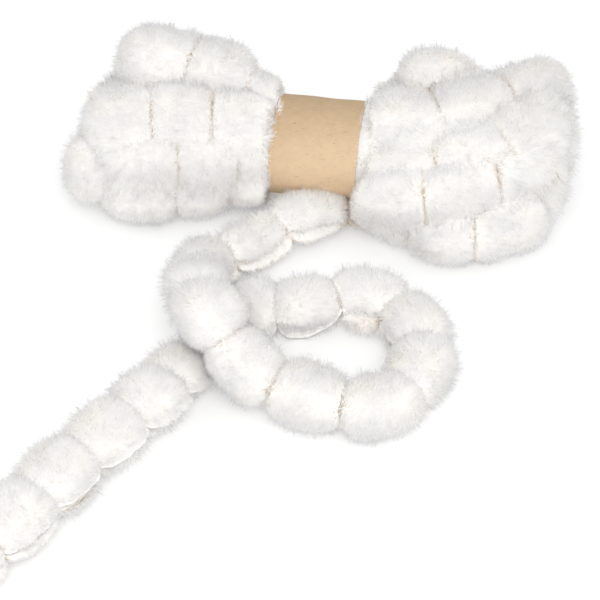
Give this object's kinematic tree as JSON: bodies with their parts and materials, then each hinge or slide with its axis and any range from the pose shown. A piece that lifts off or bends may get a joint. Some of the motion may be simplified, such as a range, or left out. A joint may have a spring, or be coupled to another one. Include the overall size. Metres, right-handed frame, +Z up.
{
  "type": "faux-fur pompom ribbon in a banded hank",
  "caption": "White faux-fur ribbon pinched into soft puffs, wound in a two-lobed hank with a paper band and a looped loose end.",
  "frame": {"origin": "middle of the whole part's box, on the surface it lies on", "axes": "+Z up from the surface; the hank lies along X with the loose end in front of it; the part is longest along Y"},
  "size_m": [0.3613, 0.4166, 0.0887],
  "materials": {
    "wound_faux_fur": "soft white pile",
    "loose_faux_fur": "soft white pile",
    "kraft_paper": "matt kraft"
  },
  "bodies": {
    "root": {"hank": "wound_faux_fur", "loose_end": "loose_faux_fur", "paper_band": "kraft_paper"}
  },
  "joints": []
}
